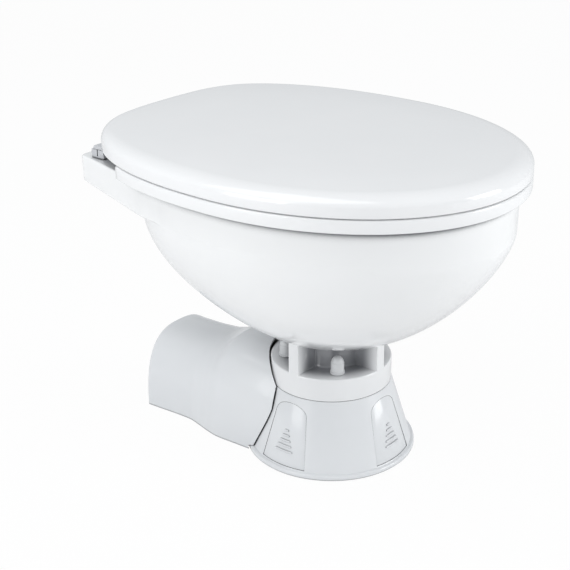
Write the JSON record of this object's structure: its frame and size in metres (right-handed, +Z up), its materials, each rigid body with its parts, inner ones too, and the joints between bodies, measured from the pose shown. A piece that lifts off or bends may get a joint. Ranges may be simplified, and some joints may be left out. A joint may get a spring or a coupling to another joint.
{
  "type": "electric marine toilet",
  "caption": "White marine toilet: glazed china bowl with a hinged seat and lid on a conical base, macerator pump and motor under a cover behind it.",
  "frame": {"origin": "on the floor, under the middle of the whole from the lid's front to the deck's rear edge", "axes": "+Z up, -Y towards the front, +X to the right seen from the front looking back"},
  "size_m": [0.3648, 0.457, 0.3519],
  "materials": {
    "china": "clear glazed vitreous china",
    "seat_plastic": "polished white thermoset",
    "moulding": "semi-gloss white moulding",
    "nylon": "satin white nylon",
    "steel": "stainless steel",
    "rubber": "moulded rubber",
    "pump_plastic": "glass-filled black moulding",
    "motor_paint": "black enamel on a steel can",
    "copper": "enamelled copper wire and copper bars on a steel core",
    "ferrite": "sintered ferrite and carbon"
  },
  "bodies": {
    "root": {"base": "moulding", "motor_cover": "moulding", "bowl": "china", "bowl_gasket": "rubber", "bowl_bolt_1": "steel", "bowl_bolt_2": "steel", "bowl_bolt_3": "steel", "bowl_bolt_4": "steel", "cap_nut_1": "nylon", "cap_nut_2": "nylon", "cap_nut_3": "nylon", "cap_nut_4": "nylon", "hinge_bracket_right": "nylon", "hinge_bracket_left": "nylon", "hinge_cap_right": "nylon", "hinge_cap_left": "nylon", "hinge_pin_right": "steel", "hinge_pin_left": "steel", "deck_bolt_right": "steel", "deck_bolt_left": "steel", "wing_nut_right": "nylon", "wing_nut_left": "nylon", "inlet_bush": "rubber", "macerator_housing": "pump_plastic", "spigot_ring": "rubber", "chopper_plate": "steel", "pump_o_ring": "rubber", "pump_back_plate": "pump_plastic", "shaft_seal": "rubber", "pump_screw_1": "steel", "pump_screw_2": "steel", "pump_screw_3": "steel", "pump_screw_4": "steel", "motor_can": "motor_paint", "field_magnet": "ferrite", "brush_right": "ferrite", "brush_left": "ferrite", "front_bearing": "steel", "rear_bearing": "steel", "end_bell": "pump_plastic", "motor_strap": "steel", "strap_screw_right": "steel", "strap_screw_left": "steel"},
    "seat": {"seat": "seat_plastic", "seat_bumper_1": "rubber", "seat_bumper_2": "rubber", "seat_bumper_3": "rubber", "seat_bumper_4": "rubber"},
    "lid": {"lid": "seat_plastic", "lid_bumper_right": "rubber", "lid_bumper_left": "rubber"},
    "rotor": {"armature": "copper", "impeller": "pump_plastic", "macerator_blades": "steel"},
    "cover_left": {"screw_cover_left": "moulding"},
    "cover_front": {"screw_cover_front": "moulding"},
    "cover_right": {"screw_cover_right": "moulding"},
    "discharge": {"discharge_elbow": "pump_plastic", "joker_valve": "rubber"},
    "inlet": {"inlet_elbow": "nylon"}
  },
  "joints": [
    {"name": "seat_lift", "type": "hinge", "parent": "root", "child": "seat", "pos_m": [0, 0.2155, 0.323], "axis": [-1, 0, 0], "range_deg": [0, 95]},
    {"name": "lid_lift", "type": "hinge", "parent": "seat", "child": "lid", "pos_m": [0, 0.2155, 0.323], "axis": [1, 0, 0], "range_deg": [-100, 0]},
    {"name": "rotor_spin", "type": "hinge", "parent": "root", "child": "rotor", "pos_m": [0, 0.0915, 0.039], "axis": [0, 1, 0], "continuous": true},
    {"name": "left_cover_pull", "type": "slide", "parent": "root", "child": "cover_left", "axis": [-1, 0, 0], "range_m": [0, 0.015]},
    {"name": "front_cover_pull", "type": "slide", "parent": "root", "child": "cover_front", "axis": [0, -1, 0], "range_m": [0, 0.015]},
    {"name": "right_cover_pull", "type": "slide", "parent": "root", "child": "cover_right", "axis": [1, 0, 0], "range_m": [0, 0.015]},
    {"name": "discharge_swivel", "type": "hinge", "parent": "root", "child": "discharge", "pos_m": [-0.046, 0.0595, 0.039], "axis": [1, 0, 0], "range_deg": [-8, 20]},
    {"name": "inlet_turn", "type": "hinge", "parent": "root", "child": "inlet", "pos_m": [0, 0.1995, 0.26], "axis": [0, 1, 0], "range_deg": [-90, 90]}
  ]
}
